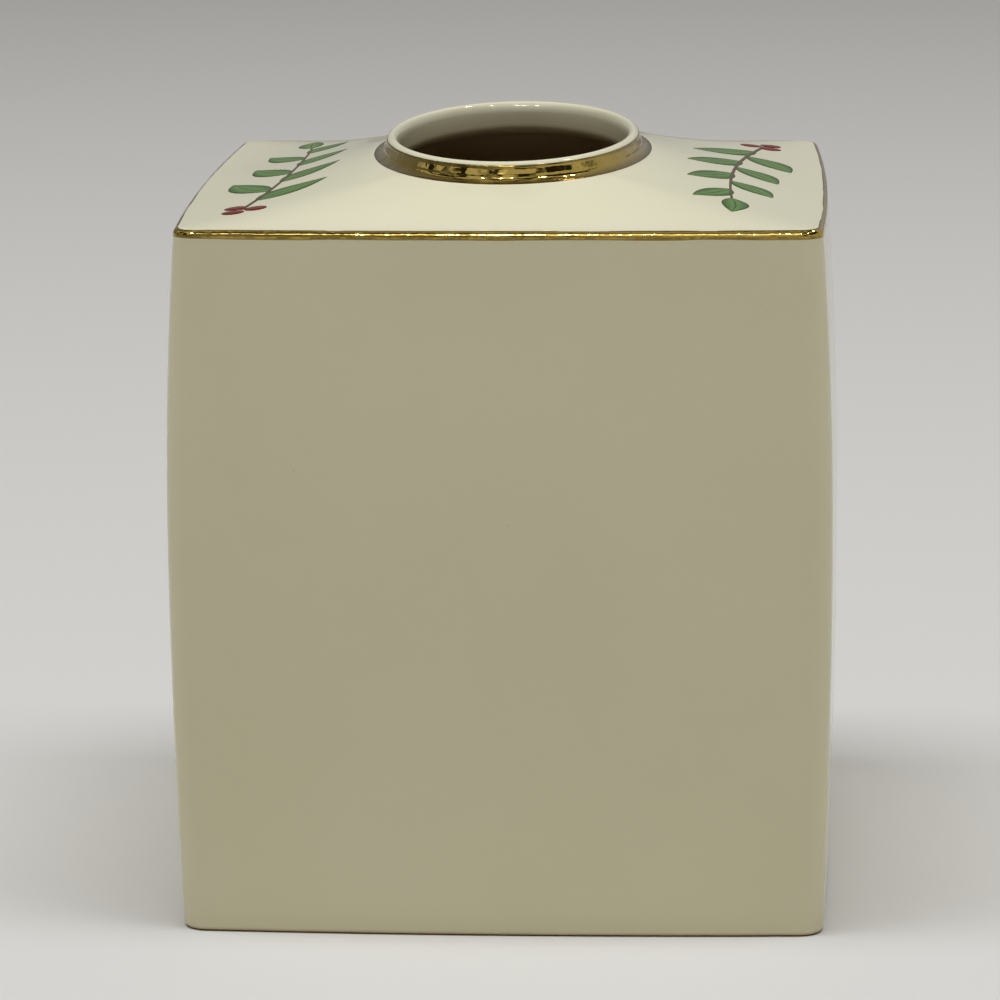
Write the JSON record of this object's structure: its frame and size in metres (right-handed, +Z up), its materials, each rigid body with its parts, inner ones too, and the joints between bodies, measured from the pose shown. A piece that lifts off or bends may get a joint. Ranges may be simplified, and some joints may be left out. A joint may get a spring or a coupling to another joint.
{
  "type": "tissue box cover",
  "caption": "Upright ivory porcelain tissue box cover with bowed walls, a swept-up top, an oval collar to draw tissues through, gold lines and leaf sprigs",
  "frame": {"origin": "on the table under the middle of the cover's foot", "axes": "+Z up out of the collar, -Y out of the front wall, +X to the right of someone facing the front, and the oval opening is longest along Y"},
  "size_m": [0.13, 0.13, 0.1481],
  "materials": {
    "porcelain": "glossy ivory glaze",
    "gold": "polished fired gold"
  },
  "bodies": {
    "root": {"porcelain_shell": "porcelain", "shoulder_gilt_band": "gold", "collar_gilt_band": "gold"}
  },
  "joints": []
}
